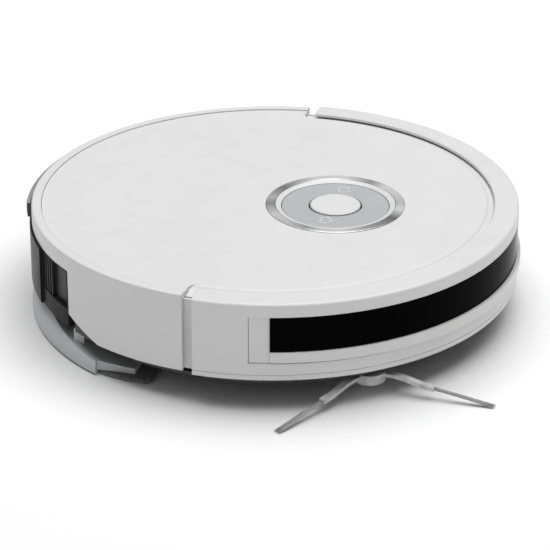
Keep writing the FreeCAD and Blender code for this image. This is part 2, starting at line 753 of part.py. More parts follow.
for half in (-1, 1):
    for number in range(3):
        tag = "%s%d" % ("lr"[half > 0], number)
        spine = add("Part::Helix", "row_spine_" + tag)
        spine.Pitch = 220
        spine.setExpression("Height", bound("brush_half_l - 4"))
        spine.Radius = 12
        spine.LocalCoord = "Left-handed" if half > 0 else "Right-handed"
        strip = add("Part::Plane", "row_strip_" + tag)
        strip.setExpression("Length", bound("brush_r - 9.1"))
        strip.Width = 3
        strip.Placement = FreeCAD.Placement(V(9.1, -1.5, 0), FreeCAD.Rotation())
        row = add("Part::Sweep", "row_" + tag)
        row.Sections = [strip]
        row.Spine = (spine, ["Edge1"])
        row.Solid = True
        row.Frenet = True
        spin = number * 120 if half > 0 else 180 - number * 120
        lie = FreeCAD.Rotation(V(0, 1, 0), 90 * half).multiply(FreeCAD.Rotation(V(0, 0, 1), spin))
        row.Placement = FreeCAD.Placement(V(0.6 * half, num("brush_y"), num("brush_z")), lie)
        rows.append(row)
rib_gaps = [rod("rib_gap_%d" % (x + 45), "brush_r + 2", x - 2.2, x + 2.2, **BRUSH) for x in RIBS]
row_root = rod("row_root", "9.05", "-brush_half_l", "brush_half_l", **BRUSH)
node(cut("brush_bristles", group("bristle_rows", *rows), row_root, *rib_gaps))
node(cut(
    "brush_gearbox",
    box("gearbox_block", "brush_half_l + 5.9", "well_in_x - 0.4", "brush_y - 18", "brush_y + 18",
        "pan_top + 0.1", "board_z + 6"),
    rod("gearbox_bore", "brush_pin_r + 0.05", "brush_half_l", "brush_half_l + 11", **BRUSH),
))
node(rod("brush_motor", "11", "brush_half_l - 34", "brush_half_l + 5.6", y="brush_y + 4", z="board_z - 5",
         along="X"))
guard_ribs = []
for x in RIBS:
    rib = prism("guard_rib_%d" % (x + 45), [
        ("brush_y - 23", "underside_z - 4"),
        ("brush_y - 12", "3.4"),
        ("brush_y + 12", "3.4"),
        ("brush_y + 23", "underside_z - 4"),
        ("brush_y + 23", "underside_z - 0.4"),
        ("brush_y + 20", "underside_z - 3.4"),
        ("brush_y + 10.6", "6"),
        ("brush_y - 10.6", "6"),
        ("brush_y - 20", "underside_z - 3.4"),
        ("brush_y - 23", "underside_z - 0.4"),
    ], "rear", x - 1, x + 1)
    guard_ribs.append(rib)
guard_frame = cut(
    "guard_frame",
    box("guard_outer", "-brush_half_l - 9", "brush_half_l + 9", "brush_y - 26.5", "brush_y + 26.5",
        "underside_z - 4", "underside_z - 0.2"),
    box("guard_inner", "-brush_half_l - 1.5", "brush_half_l + 1.5", "brush_y - 20.5", "brush_y + 20.5", "0",
        "underside_z"),
)
guard_solid = fuse("guard_solid", guard_frame, *guard_ribs)
guard_pin_slot = rod("guard_pin_slot", "brush_pin_r + 0.7", "-brush_half_l - 10", "brush_half_l + 10", **BRUSH)
node(cut("brush_guard", guard_solid, guard_pin_slot))

# ---------------------------------------------------------------- side brush
HUB = dict(x="side_hub_x", y="side_hub_y")
MOTOR = dict(x="side_hub_x + 24.5", y="side_hub_y + 24")
gear_web = prism("side_gear_web", [
    ("side_hub_x - 0.7 * gear_end_r", "side_hub_y + 0.7 * gear_end_r"),
    ("side_hub_x + 14", "side_hub_y + 34.5"),
    ("side_hub_x + 35", "side_hub_y + 13.5"),
    ("side_hub_x + 0.7 * gear_end_r", "side_hub_y - 0.7 * gear_end_r"),
], "floor", "pan_top + 0.1", "pan_top + 18")
node(cut(
    "side_brush_gearbox",
    fuse(
        "side_gear_solid",
        rod("side_gear_end", "gear_end_r", "pan_top + 0.1", "pan_top + 18", **HUB),
        rod("side_gear_root", "15", "pan_top + 0.1", "pan_top + 18", **MOTOR),
        gear_web,
    ),
    rod("side_gear_bore", "2.55", "0", "pan_top + 14", **HUB),
))
node(rod("side_brush_motor", "10.5", "pan_top + 18.2", "pan_top + 42", **MOTOR))
arms = []
tufts = []
for number, heading in enumerate((148.5, 268.5, 28.5)):
    arm = prism("side_arm_%d" % number, [
        ("8", "15"),
        ("16", "15"),
        ("22", "14.2"),
        ("29", "12.2"),
        ("35", "10.4"),
        ("43", "9.2"),
        ("43", "6.8"),
        ("35", "8"),
        ("29", "9.6"),
        ("22", "11.6"),
        ("16", "12.6"),
        ("8", "12.8"),
    ], "side", "-2.6", "2.6")
    arms.append(put(arm, "side_hub_x", "side_hub_y", "0", (V(0, 0, 1), heading)))
    for fan in (-4, -2, 0, 2, 4):
        tuft = prism("side_tuft_%d_%d" % (number, fan + 6), [
            ("43.4", "8.8"),
            ("side_tip_r - 20", "5.9"),
            ("side_tip_r - 9", "3"),
            ("side_tip_r", "1.1"),
            ("side_tip_r", "0.4"),
            ("side_tip_r - 9", "1.8"),
            ("side_tip_r - 20", "4.4"),
            ("43.4", "7.2"),
        ], "side", "-0.42", "0.42")
        put(tuft, "side_hub_x", "side_hub_y", "0", (V(0, 0, 1), heading + fan * 0.6))
        tufts.append(tuft)
node(cut(
    "side_brush_hub",
    fuse("side_hub_solid", rod("side_hub_disc", "10.5", "9", "15.6", **HUB), *arms),
    rod("side_hub_recess", "4.6", "8", "10.6", **HUB),
    rod("side_hub_bore", "2.52", "8", "17", **HUB),
))
node(group("side_brush_bristles", *tufts))
node(fuse(
    "side_brush_shaft",
    rod("side_shaft_rod", "2.5", "10.6", "pan_top + 13", **HUB),
    rod("side_shaft_head", "4.2", "8.9", "10.6", **HUB),
))

# ---------------------------------------------------------------- bumper
bumper_ring = turned("bumper_ring", [
    ("bumper_in_r", "skirt_z + trim_h + 0.2"),
    ("bumper_r", "skirt_z + trim_h + 0.2"),
    ("bumper_r", "total_h"),
    ("flange_r", "total_h"),
    ("flange_r", "total_h - 1.9"),
    ("bumper_in_r - 1.4", "total_h - 1.9"),
    ("bumper_in_r", "total_h - 3.3"),
])
bumper_soft = rounded("bumper_soft", bumper_ring, "2.2", [("bumper_r", "total_h")])
bumper_lined = rounded("bumper_lined", bumper_soft, "0.6", [("flange_r", "total_h")])
bumper_reach = box("bumper_reach", "-2 * body_r", "2 * body_r", "-2 * body_r", "bumper_end_y", "0", "total_h")
bezel_cut = turned("bezel_cut", [
    ("bumper_r - 1.7", "lip_low - 0.6"),
    ("bumper_r + 5", "lip_low - 0.6"),
    ("bumper_r + 5", "window_top + 0.1"),
    ("bumper_r - 1.7", "window_top + 0.1"),
], "front", "2 * bezel_half_deg + 0.1")
bumper_ends = [
    box("bumper_end_l", "-bumper_in_r - 0.6", "-body_r + 2.6", "bumper_end_y - 2", "bumper_end_y",
        "skirt_z + trim_h + 0.2", "total_h - 1"),
    box("bumper_end_r", "body_r - 2.6", "bumper_in_r + 0.6", "bumper_end_y - 2", "bumper_end_y",
        "skirt_z + trim_h + 0.2", "total_h - 1"),
]
bumper_solid = fuse("bumper_solid", common("bumper_front", bumper_lined, bumper_reach), *bumper_ends)
node(cut("bumper_shell", bumper_solid, bezel_cut))
node(turned("window_bezel", [
    ("bumper_r - 1.55", "lip_low - 0.5"),
    ("bumper_r - 0.7", "lip_low - 0.5"),
    ("bumper_r - 0.7", "window_top"),
    ("bumper_r - 1.55", "window_top"),
], "front", "2 * bezel_half_deg"))
node(turned("bumper_window", [
    ("bumper_r - 0.55", "window_low"),
    ("bumper_r + 0.05", "window_low"),
    ("bumper_r + 0.05", "window_top"),
    ("bumper_r - 0.55", "window_top"),
], "front", "2 * window_half_deg"))
lip_sector = turned("lip_sector", [
    ("bumper_r - 0.55", "lip_low"),
    ("bumper_r + 9", "lip_low"),
    ("bumper_r + 9", "window_low - 0.4"),
    ("bumper_r - 0.55", "window_low - 0.4"),
], "front", "2 * window_half_deg")
lip_disc = add("Part::Cone", "lip_disc")
lip_disc.setExpression("Radius1", bound("bumper_r"))
lip_disc.setExpression("Radius2", bound("bumper_r + 0.3"))
lip_disc.setExpression("Height", bound("window_low - lip_low"))
put(lip_disc, "0", "-lip_proud", "lip_low")
node(common("bumper_lip", lip_sector, lip_disc))
trim_ring = turned("trim_ring", [
    ("bumper_in_r - 1", "skirt_z"),
    ("bumper_r - 0.4", "skirt_z"),
    ("bumper_r", "skirt_z + 0.6"),
    ("bumper_r", "skirt_z + trim_h"),
    ("bumper_in_r - 1", "skirt_z + trim_h"),
])
node(common("bumper_trim", trim_ring, bumper_reach))
coils = []
SPRING_EDGE = "(spring_x + coil_r + 0.4) * (spring_x + coil_r + 0.4)"
SEAT_Y = "-2.8 - sqrt(frame_r * frame_r - %s)" % SPRING_EDGE
FAR_Y = "0.9 - sqrt(bumper_in_r * bumper_in_r - %s)" % SPRING_EDGE
for side, word in ((1, "left"), (-1, "right")):
    coil = add("Part::Helix", word + "_coil_line")
    coil.Pitch = 2.6
    coil.setExpression("Radius", bound("coil_r"))
    coil.setExpression("Height", bound("(%s) - (%s) - 1.7" % (SEAT_Y, FAR_Y)))
    wire = add("Part::RegularPolygon", word + "_coil_wire")
    wire.Polygon = 8
    wire.Circumradius = 0.5
    wire.Placement = FreeCAD.Placement(V(num("coil_r"), 0, 0), FreeCAD.Rotation(V(1, 0, 0), 90))
    spring = add("Part::Sweep", word + "_coil")
    spring.Sections = [wire]
    spring.Spine = (coil, ["Edge1"])
    spring.Solid = True
    spring.Frenet = True
    coils.append(put(spring, "%d * spring_x" % side, "(%s) - 1" % SEAT_Y, "50", (V(1, 0, 0), 90)))
node(group("bumper_springs", *coils))
switch_bodies = []
for side in (-1, 1):
    tag = "lr"[side > 0]
    body = box("bump_switch_body_" + tag, "-7", "7", "-frame_r - 5.4", "-frame_r - 0.4", "30", "40")
    lever = box("bump_switch_lever_" + tag, "-6", "6", "-frame_r - 7.6", "-frame_r - 5.3", "34", "36")
    switch = fuse("bump_switch_" + tag, body, lever)
    switch.Placement = FreeCAD.Placement(V(0, 0, 0), FreeCAD.Rotation(V(0, 0, 1), 24 * side))
    switch_bodies.append(switch)
node(group("bumper_switches", *switch_bodies))

# ---------------------------------------------------------------- tank bay
bay_reach = rod("bay_reach", "body_r - 11.5", "0", "total_h")
bay_block = common(
    "bay_block",
    box("tank_bay_outer", "-tank_half_w - 3", "tank_half_w + 3", "tank_front_y - 2.4", "body_r",
        "floor_top + 0.1", "tank_top + 2.6"),
    bay_reach,
)
node(cut(
    "tank_bay",
    bay_block,
    box("tank_bay_inner", "-tank_half_w - 1.2", "tank_half_w + 1.2", "tank_front_y - 0.6", "2 * body_r", "0",
        "tank_top + 1"),
    box("bay_inlet", "-33", "33", "0", "tank_front_y + 1", "brush_z + 11", "brush_z + 21"),
    rod("bay_suction", "10", "-tank_half_w - 9", "1 - tank_half_w", y="fan_y", z="fan_z", along="X"),
))

# ---------------------------------------------------------------- tank
tank_skin = turned("tank_skin", [
    ("body_r - 1", "tank_low"),
    ("tank_r", "tank_low"),
    ("tank_r", "tank_top"),
    ("body_r - 1", "tank_top"),
], "rear", "2 * grip_start_deg")
tank_skin_soft = rounded("tank_skin_soft", tank_skin, "1.2", [("tank_r", "tank_top"), ("tank_r", "tank_low")])
tank_wing = turned("tank_wing", [
    ("body_r - 5.2", "tank_low"),
    ("body_r - 0.4", "tank_low"),
    ("body_r - 0.4", "tank_top"),
    ("body_r - 5.2", "tank_top"),
], "rear", "2 * tank_half_deg - 0.4")
tank_block = common(
    "tank_block",
    box("tank_outer", "-tank_half_w", "tank_half_w", "tank_front_y", "body_r", "floor_top + 0.8",
        "tank_top - 2.3"),
    rod("tank_block_reach", "body_r - 5", "0", "total_h"),
)
tank_cavity = common(
    "tank_cavity",
    box("tank_inner", "2 - tank_half_w", "tank_half_w - 2", "tank_front_y + 2", "body_r", "floor_top + 2.8",
        "total_h"),
    rod("tank_inner_reach", "body_r - 7.4", "0", "total_h"),
)
vent_cuts = []
vents = []
for side in (-1, 1):
    tag = "lr"[side > 0]
    pocket = turned("grip_pocket_" + tag, [
        ("body_r - 4.2", "skirt_z + 13.8"),
        ("body_r + 9", "skirt_z + 13.8"),
        ("body_r + 9", "tank_top - 1.2"),
        ("body_r - 4.2", "tank_top - 1.2"),
    ], "rear", "tank_half_deg - grip_start_deg - 1")
    turn = FreeCAD.Rotation(V(0, 0, 1), -num("tank_half_deg / 2 + grip_start_deg / 2") * side)
    pocket.Placement = FreeCAD.Placement(V(0, 0, 0), turn)
    vent_cuts.append(pocket)
    plate = turned("vent_plate_" + tag, [
        ("body_r - 4.1", "skirt_z + 13.9"),
        ("body_r - 3.5", "skirt_z + 13.9"),
        ("body_r - 3.5", "tank_top - 1.3"),
        ("body_r - 4.1", "tank_top - 1.3"),
    ], "rear", "tank_half_deg - grip_start_deg - 1.4")
    plate.Placement = FreeCAD.Placement(V(0, 0, 0), turn)
    fins = [
        swung_box("fin_%s%d" % (tag, number), ("1.3", "2.8", "tank_top - skirt_z - 15.2"),
                  ("-0.65", "body_r - 3.7", "skirt_z + 13.9"), V(0, 0, 1),
                  -side * (num("grip_start_deg") + 1.6 + number * 1.5))
        for number in range(4)
    ]
    vents.append(fuse("vent_" + tag, plate, *fins))
node(cut(
    "tank_body",
    fuse("tank_solid", tank_skin_soft, tank_wing, tank_block),
    tank_cavity,
    box("tank_inlet", "-32", "32", "0", "tank_front_y + 3", "brush_z + 11.5", "brush_z + 20.5"),
    rod("tank_outlet", "12", "-tank_half_w - 1", "3 - tank_half_w", y="fan_y", z="fan_z - 2", along="X"),
    *vent_cuts,
))
node(group("tank_vents", *vents))
node(common(
    "tank_lid",
    box("lid_plate", "0.2 - tank_half_w", "tank_half_w - 0.2", "tank_front_y + 0.2", "body_r",
        "tank_top - 2.2", "tank_top - 0.2"),
    rod("lid_reach", "body_r - 5.5", "0", "total_h"),
))
node(fuse(
    "fill_plug",
    rod("plug_flange", "9", "tank_top - 0.15", "tank_top + 0.25", x="48", y="118"),
    box("plug_tab", "48", "60", "115", "121", "tank_top - 0.15", "tank_top + 0.25"),
))
filter_frame = cut(
    "filter_frame",
    box("filter_frame_block", "2.1 - tank_half_w", "4.8 - tank_half_w", "fan_y - 18", "fan_y + 18",
        "fan_z - 16", "fan_z + 13.5"),
    box("filter_frame_hole", "-tank_half_w", "6 - tank_half_w", "fan_y - 14", "fan_y + 14", "fan_z - 12.5",
        "fan_z + 10"),
)
pleats = [
    box("pleat_%d" % number, "5.8 - tank_half_w", "13 - tank_half_w", "fan_y - %.1f" % (15.5 - 3.1 * number),
        "fan_y - %.1f" % (14 - 3.1 * number), "fan_z - 14", "fan_z + 11.5")
    for number in range(11)
]
filter_back = box("filter_back", "4.7 - tank_half_w", "6 - tank_half_w", "fan_y - 16", "fan_y + 18",
                  "fan_z - 15", "fan_z + 12.5")
node(fuse("filter", filter_frame, filter_back, *pleats))
node(box("inlet_flap", "-34", "34", "tank_front_y + 2.1", "tank_front_y + 3.3", "brush_z + 10.5",
         "brush_z + 22"))
bezel_block = common(
    "release_bezel_block",
    box("release_bezel_box", "-release_half_w", "release_half_w", "0", "2 * body_r", "tank_top + 0.1",
        "panel_low - 0.5"),
    cut(
        "release_bezel_ring",
        rod("release_bezel_outer", "tank_r + 1.4", "0", "total_h"),
        rod("release_bezel_inner", "body_r - 4", "0", "total_h"),
    ),
)
button_recess = common(
    "button_recess",
    box("button_recess_box", "-button_half_w - 0.4", "button_half_w + 0.4", "0", "2 * body_r", "0",
        "total_h"),
    cut(
        "button_recess_ring",
        rod("button_recess_outer", "2 * body_r", "1", "total_h - 1"),
        rod("button_recess_inner", "tank_r - 3.1", "0", "total_h"),
    ),
)
node(cut("release_bezel", bezel_block, button_recess))
node(common(
    "release_button",
    box("release_button_box", "-button_half_w", "button_half_w", "0", "2 * body_r", "tank_top + 0.3",
        "panel_low - 0.7"),
    cut(
        "release_button_ring",
        rod("release_button_outer", "tank_r + 2.1", "0", "total_h"),
        rod("release_button_inner", "tank_r - 0.6", "0", "total_h"),
    ),
))

# ---------------------------------------------------------------- fan and speaker
FAN = dict(y="fan_y", z="fan_z", along="X")
node(cut(
    "fan_housing",
    rod("fan_can", "20", "-tank_half_w - 28", "-tank_half_w - 3.4", **FAN),
    rod("fan_cavity", "18.2", "-tank_half_w - 26.2", "-tank_half_w - 5.2", **FAN),
    rod("fan_inlet", "9", "-tank_half_w - 6", "-tank_half_w", **FAN),
    rod("fan_shaft_bore", "2", "-tank_half_w - 29", "-tank_half_w - 26", **FAN),
    box("fan_outlet", "-tank_half_w - 24", "-tank_half_w - 8", "fan_y - 6", "fan_y + 6", "0", "fan_z - 14"),
))
BLADES = 7
blades = [
    swung_box("fan_blade_%d" % number, ("11", "12.5", "1.2"), ("0", "4", "-0.6"), V(1, 0, 0),
              number * 360 / BLADES, ("-tank_half_w - 19.5", "fan_y", "fan_z"))
    for number in range(BLADES)
]
node(fuse(
    "fan_impeller",
    rod("impeller_plate", "17", "-tank_half_w - 21", "-tank_half_w - 19", **FAN),
    rod("impeller_hub", "5", "-tank_half_w - 21", "-tank_half_w - 8.5", **FAN),
    rod("impeller_shaft", "1.5", "-tank_half_w - 30", "-tank_half_w - 20", **FAN),
    *blades,
))
node(cut(
    "fan_motor",
    rod("fan_motor_can", "12.5", "-tank_half_w - 45.5", "-tank_half_w - 28.1", **FAN),
    rod("fan_motor_bore", "1.55", "-tank_half_w - 31", "-tank_half_w - 28", **FAN),
))
node(fuse(
    "speaker",
    rod("speaker_basket", "14", "floor_top + 0.1", "floor_top + 5", x="tank_half_w + 27", y="74"),
    rod("speaker_magnet", "8", "floor_top + 4", "floor_top + 11", x="tank_half_w + 27", y="74"),
))

# ---------------------------------------------------------------- mop plate and cloth
plate_profile = turned("plate_profile", [
    ("0", "cloth_t + 0.1"),
    ("mop_r - skirt_w", "cloth_t + 0.1"),
    ("mop_r - skirt_w", "1.2"),
    ("mop_r - 0.8", "1"),
    ("mop_r", "1.8"),
    ("mop_r", "cloth_t + 3.4"),
    ("mop_r - 0.6", "cloth_t + 7"),
    ("mop_r - 2.4", "cloth_t + 11"),
    ("mop_r - 5.4", "cloth_t + 14.8"),
    ("mop_r - 9", "rear_floor_z - 1.8"),
    ("mop_r - 13", "rear_floor_z - 0.7"),
    ("0", "rear_floor_z - 0.7"),
], "rear")
plate_outline = fuse(
    "plate_outline",
    box("plate_wide", "-2 * body_r", "2 * body_r", "mop_front_y + 26", "2 * body_r", "0", "total_h"),
    box("plate_neck", "23 - body_r", "body_r - 23", "mop_front_y", "mop_front_y + 27", "0", "total_h"),
)
plate_slope = prism("plate_slope", [
    ("mop_front_y - 5", "cloth_t + 3.6"),
    ("mop_front_y + 5", "cloth_t + 4.2"),
    ("mop_front_y + 30", "cloth_t + 7.4"),
    ("mop_front_y + 55", "cloth_t + 12"),
    ("mop_front_y + 82", "rear_floor_z - 0.6"),
    ("mop_front_y + 82", "total_h"),
    ("mop_front_y - 5", "total_h"),
], "rear", "-body_r - 5", "body_r + 5")
plate_pocket = common(
    "plate_pocket",
    rod("plate_pocket_disc", "mop_r - plate_rim_w", "cloth_t + 3", "total_h"),
    box("plate_pocket_reach", "30 - body_r", "body_r - 30", "mop_front_y + 12", "body_r", "0", "total_h"),
)
clips = [
    box("mop_clip_l", "39 - body_r", "51 - body_r", "95", "102", "8", "rear_floor_z + 1.8"),
    box("mop_clip_r", "body_r - 51", "body_r - 39", "95", "102", "8", "rear_floor_z + 1.8"),
]
plate_base = cut("plate_base", common("plate_solid", plate_profile, plate_outline), plate_pocket, plate_slope)
clip_feet = [
    box("clip_foot_l", "39 - body_r", "51 - body_r", "94", "103", "cloth_t + 2.5", "12"),
    box("clip_foot_r", "body_r - 51", "body_r - 39", "94", "103", "cloth_t + 2.5", "12"),
]
node(fuse("mop_plate", plate_base, *clips, *clip_feet))
CLOTH_X = ("-cloth_half_w", "cloth_half_w")
node(fuse(
    "mop_cloth",
    common(
        "cloth_rear",
        rod("cloth_rear_disc", "mop_r - skirt_w - 0.3", "0", "cloth_t"),
        box("cloth_rear_reach", *CLOTH_X, "cloth_front_y", "2 * body_r", "0", "total_h"),
    ),
    common(
        "cloth_wings",
        rod("cloth_wings_disc", "mop_r + 0.4", "0", "cloth_t"),
        box("cloth_wings_reach", *CLOTH_X, "cloth_front_y", "mop_front_y + 24", "0", "total_h"),
    ),
))

# ---------------------------------------------------------------- underside details
node(group(
    "cliff_lenses",
    rod("cliff_lens_c", "6", "underside_z - 0.35", "underside_z - 0.05", y="12 - body_r"),
    rod("cliff_lens_l", "6", "underside_z - 0.35", "underside_z - 0.05", x="62", y="30 - body_r"),
    rod("cliff_lens_r", "6", "underside_z - 0.35", "underside_z - 0.05", x="-62", y="30 - body_r"),
))
node(group(
    "charging_contacts",
    box("contact_l", "28", "44", "caster_y - 4", "caster_y + 4", "underside_z - 0.45", "underside_z - 0.05"),
    box("contact_r", "-44", "-28", "caster_y - 4", "caster_y + 4", "underside_z - 0.45",
        "underside_z - 0.05"),
))

# ---------------------------------------------------------------- check and write
doc.recompute()
for thing in doc.Objects:
    if "Invalid" in thing.State or "Error" in thing.State:
        raise RuntimeError("%s is in state %s" % (thing.Name, thing.State))
os.makedirs("parts", exist_ok=True)
for thing in nodes:
    if thing.Shape.isNull() or not thing.Shape.isValid():
        raise RuntimeError("%s has no valid shape" % thing.Label)
    thing.Shape.exportStep("parts/%s.step" % thing.Label)
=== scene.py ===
"""Round robot vacuum cleaner with a mop: materials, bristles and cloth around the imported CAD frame."""
import json
import math
import random

import bpy
import bmesh
from mathutils import Matrix, Vector, noise


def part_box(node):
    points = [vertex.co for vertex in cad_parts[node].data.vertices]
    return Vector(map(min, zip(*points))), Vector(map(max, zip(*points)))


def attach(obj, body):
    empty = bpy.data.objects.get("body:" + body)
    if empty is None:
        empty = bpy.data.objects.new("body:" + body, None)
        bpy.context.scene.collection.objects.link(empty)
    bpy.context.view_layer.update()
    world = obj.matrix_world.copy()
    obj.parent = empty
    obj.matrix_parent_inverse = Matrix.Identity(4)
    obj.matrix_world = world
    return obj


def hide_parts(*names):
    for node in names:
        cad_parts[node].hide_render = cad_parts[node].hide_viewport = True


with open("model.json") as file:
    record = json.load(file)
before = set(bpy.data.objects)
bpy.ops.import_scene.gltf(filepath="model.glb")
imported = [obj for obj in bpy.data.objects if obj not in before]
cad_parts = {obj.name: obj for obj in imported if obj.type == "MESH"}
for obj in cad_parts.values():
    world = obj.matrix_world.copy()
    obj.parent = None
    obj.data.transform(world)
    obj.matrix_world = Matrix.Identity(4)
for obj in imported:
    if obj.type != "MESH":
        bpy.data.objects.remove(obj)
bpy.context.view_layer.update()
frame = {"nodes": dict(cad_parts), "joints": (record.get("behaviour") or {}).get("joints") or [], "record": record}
nodes = frame["nodes"]
MM = 0.001
TAU = 2.0 * math.pi
# The range that most of a noise texture's values lie in
NOISE_LOW = 0.35
NOISE_HIGH = 0.65

# ---------------------------------------------------------------- materials


class Shader:
    """A Principled material and short calls for the nodes around it."""

    def __init__(self, name, color, roughness, **sockets):
        self.material = bpy.data.materials.new(name)
        self.material.use_nodes = True
        self.tree = self.material.node_tree
        self.bsdf = self.tree.nodes["Principled BSDF"]
        self.bsdf.inputs["Base Color"].default_value = (*color, 1.0)
        self.bsdf.inputs["Roughness"].default_value = roughness
        for socket, value in sockets.items():
            self.bsdf.inputs[socket.replace("_", " ")].default_value = value
        self.place = None

    def node(self, kind, **settings):
        made = self.tree.nodes.new(kind)
        for key, value in settings.items():
            if key in made.inputs:
                made.inputs[key].default_value = value
            else:
                setattr(made, key, value)
        return made

    def link(self, source, target):
        self.tree.links.new(source, target)

    def where(self):
        """Object coordinates, in metres."""
        if self.place is None:
            self.place = self.node("ShaderNodeTexCoord").outputs["Object"]
        return self.place

    def mapped(self, offset=(0.0, 0.0, 0.0), scale=(1.0, 1.0, 1.0)):
        """Object coordinates moved and stretched."""
        mapping = self.node("ShaderNodeMapping")
        mapping.inputs["Location"].default_value = offset
        mapping.inputs["Scale"].default_value = scale
        self.link(self.where(), mapping.inputs["Vector"])
        return mapping.outputs["Vector"]

    def noise(self, scale, detail=2.0, source=None):
        texture = self.node("ShaderNodeTexNoise", Scale=scale, Detail=detail)
        self.link(source or self.where(), texture.inputs["Vector"])
        return texture.outputs["Fac"]

    def cells(self, scale):
        """Distance to the nearest of many scattered points."""
        texture = self.node("ShaderNodeTexVoronoi", Scale=scale)
        self.link(self.where(), texture.inputs["Vector"])
        return texture.outputs["Distance"]

    def spread(self, factor, low, high):
        """The factor mapped to a range of numbers."""
        ranged = self.node("ShaderNodeMapRange")
        ranged.inputs["From Min"].default_value = NOISE_LOW
        ranged.inputs["From Max"].default_value = NOISE_HIGH
        ranged.inputs["To Min"].default_value = low
        ranged.inputs["To Max"].default_value = high
        self.link(factor, ranged.inputs["Value"])
        return ranged.outputs["Result"]

    def tint(self, factor, dark, light, start=NOISE_LOW, end=NOISE_HIGH):
        """Base colour between two colours."""
        ramp = self.node("ShaderNodeValToRGB")
        ramp.color_ramp.elements[0].position = start
        ramp.color_ramp.elements[0].color = (*dark, 1.0)
        ramp.color_ramp.elements[1].position = end
        ramp.color_ramp.elements[1].color = (*light, 1.0)
        self.link(factor, ramp.inputs["Fac"])
        self.link(ramp.outputs["Color"], self.bsdf.inputs["Base Color"])

    def bump(self, height, strength, distance=0.0005, edge=0.0):
        """Surface relief, over edges that look rounded to the radius edge."""
        bump = self.node("ShaderNodeBump", Strength=strength, Distance=distance)
        self.link(height, bump.inputs["Height"])
        if edge:
            rounded = self.node("ShaderNodeBevel", samples=4, Radius=edge)
            self.link(rounded.outputs["Normal"], bump.inputs["Normal"])
        self.link(bump.outputs["Normal"], self.bsdf.inputs["Normal"])

    def rough(self, factor, low, high):
        self.link(self.spread(factor, low, high), self.bsdf.inputs["Roughness"])


def shades(color, drift):
    """A colour a little darker and a little lighter."""
    dark = tuple(max(0.0, c * (1.0 - drift)) for c in color)
    light = tuple(min(1.0, c * (1.0 + drift)) for c in color)
    return dark, light


def moulded(name, color, roughness, grain=2600.0, depth=0.12, drift=0.03, edge=0.0004, **sockets):
    """Moulded plastic: fine spark texture, slow colour drift, uneven gloss and eased edges."""
    shader = Shader(name, color, roughness, **sockets)
    shader.tint(shader.noise(14.0), *shades(color, drift))
    shader.rough(shader.noise(60.0, 4.0), roughness * 0.9, roughness * 1.12)
    shader.bump(shader.noise(grain, 2.0), depth, 0.00004, edge)
    return shader.material


def turned(name, roughness, centre, painted_reflections, **sockets):
    """Spun metal around a vertical axis through centre: painted reflections, light and dark sweeps of base colour
    by angle, over fine rings.
    """
    shader = Shader(name, (0.7, 0.7, 0.71), roughness, **sockets)
    around = shader.mapped(offset=(-centre[0], -centre[1], 0.0))
    turn = shader.node("ShaderNodeTexGradient", gradient_type="RADIAL")
    shader.link(around, turn.inputs["Vector"])
    # Painted reflections: the base colour goes light and dark by angle around the centre, as painted highlights
    # and dark sweeps.
    ramp = shader.node("ShaderNodeValToRGB")
    stops = ramp.color_ramp.elements
    for index, (degrees, shade) in enumerate(painted_reflections):
        place = degrees / 360.0 + 0.5
        if index < 2:
            stops[index].position = place
        stop = stops[index] if index < 2 else stops.new(place)
        stop.color = (shade, shade, shade * 1.01, 1.0)
    shader.link(turn.outputs["Fac"], ramp.inputs["Fac"])
    shader.link(ramp.outputs["Color"], shader.bsdf.inputs["Base Color"])
    rings = shader.node(
        "ShaderNodeTexWave", wave_type="RINGS", rings_direction="Z", Scale=900.0, Distortion=3.0,
    )
    shader.link(around, rings.inputs["Vector"])
    shader.rough(rings.outputs["Fac"], roughness * 0.85, roughness * 1.2)
    shader.bump(rings.outputs["Fac"], 0.06, 0.00003, 0.0004)
    return shader.material


def drawn(name, color, roughness, along):
    """Drawn or rolled metal: fine streaks along one axis."""
    shader = Shader(name, color, roughness, Metallic=1.0, Anisotropic=0.3)
    streaks = shader.noise(900.0, 3.0, shader.mapped(scale=along))
    shader.tint(shader.noise(90.0, 3.0), *shades(color, 0.08))
    shader.rough(streaks, roughness * 0.8, roughness * 1.3)
    shader.bump(streaks, 0.12, 0.00003, 0.0003)
    return shader.material


def rubber(name, color, roughness, grain=900.0, depth=0.4):
    """Soft rubber: matt, with dust in a fine pebbled skin."""
    shader = Shader(name, color, roughness, Specular_IOR_Level=0.35)
    shader.tint(shader.noise(120.0, 5.0), *shades(color, 0.22))
    shader.rough(shader.noise(300.0, 3.0), roughness * 0.9, min(1.0, roughness * 1.15))
    shader.bump(shader.cells(grain), depth, 0.00012, 0.0003)
    return shader.material


def fibre(name, color, roughness, sheen, grain=700.0, drift=0.45):
    """Nylon or cotton fibres: soft sheen, colour that changes from fibre to fibre."""
    shader = Shader(name, color, roughness, Sheen_Weight=sheen, Sheen_Roughness=0.45)
    shader.tint(shader.noise(grain, 4.0), *shades(color, drift))
    shader.rough(shader.noise(grain * 0.6, 2.0), roughness * 0.85, min(1.0, roughness * 1.1))
    shader.bump(shader.noise(grain * 3.0, 3.0), 0.5, 0.0001)
    return shader.material


def pleated(name, color):
    """Pleated filter paper: close parallel folds."""
    shader = Shader(name, color, 0.92, Specular_IOR_Level=0.2)
    folds = shader.node("ShaderNodeTexWave", bands_direction="Y", Scale=110.0, Distortion=0.4)
    shader.link(shader.where(), folds.inputs["Vector"])
    # Painted shade: the paper's base colour is darker in the valleys of the folds and lighter on their ridges.
    shader.tint(folds.outputs["Fac"], *shades(color, 0.18), start=0.0, end=1.0)
    shader.bump(folds.outputs["Fac"], 0.9, 0.0008)
    return shader.material


